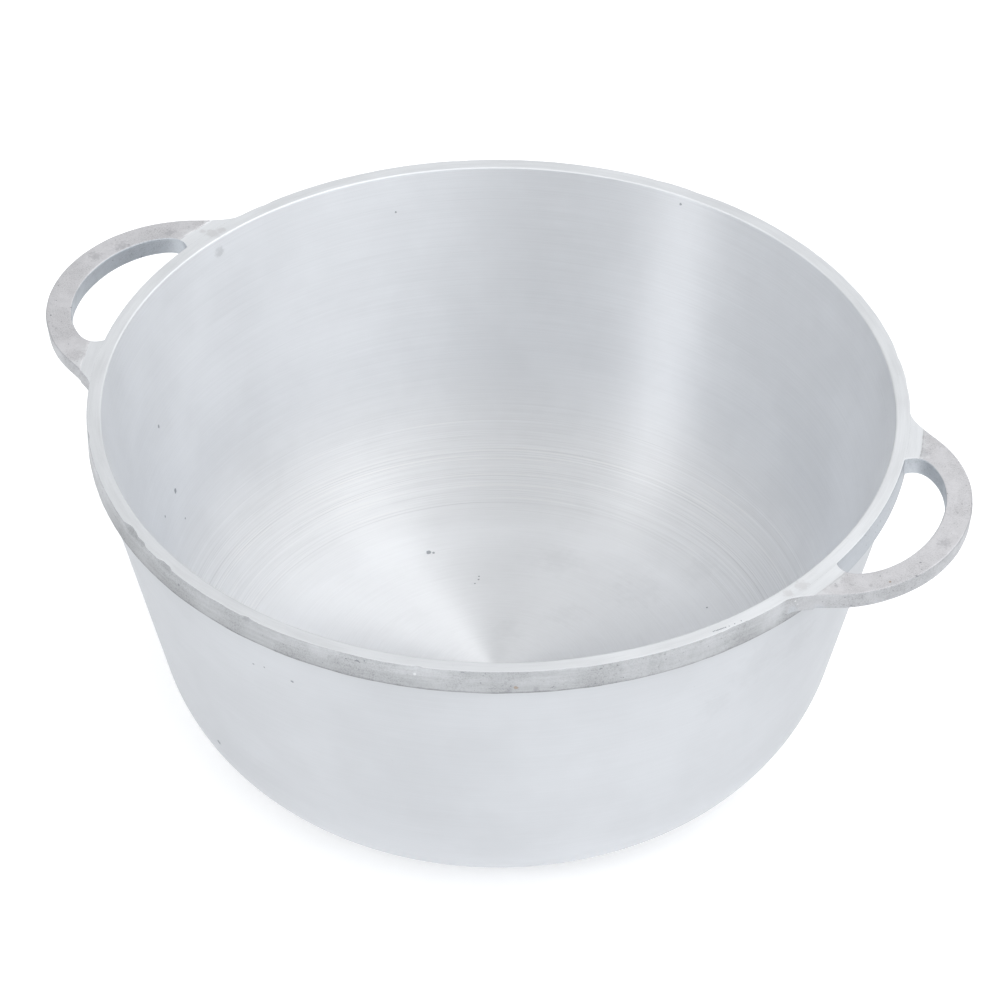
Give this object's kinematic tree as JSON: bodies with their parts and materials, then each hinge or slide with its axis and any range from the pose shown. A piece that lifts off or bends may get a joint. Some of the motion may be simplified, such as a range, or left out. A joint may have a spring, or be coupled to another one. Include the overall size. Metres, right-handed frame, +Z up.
{
  "type": "low stock pot",
  "caption": "Low, wide cast aluminium cooking pot with a tapered wall, a raised rim collar and flat loop handles at rim height.",
  "frame": {"origin": "centre of the flat underside of the pot, on the surface it stands on", "axes": "+Z up out of the mouth, +X along the line through both handles, +Y completes a right-handed frame"},
  "size_m": [0.4104, 0.34, 0.158],
  "materials": {
    "turned_aluminium": "satin, turned on a lathe: fine rings around the axis inside and out",
    "ground_cast_aluminium": "dull as-cast band with ground marks; rim top machined bright",
    "as_cast_aluminium": "matte sand-cast skin, fine grain and pits"
  },
  "bodies": {
    "root": {"pot_base": "turned_aluminium", "pot_wall": "turned_aluminium", "rim_collar": "ground_cast_aluminium", "handle_right": "as_cast_aluminium", "handle_left": "as_cast_aluminium"}
  },
  "joints": []
}
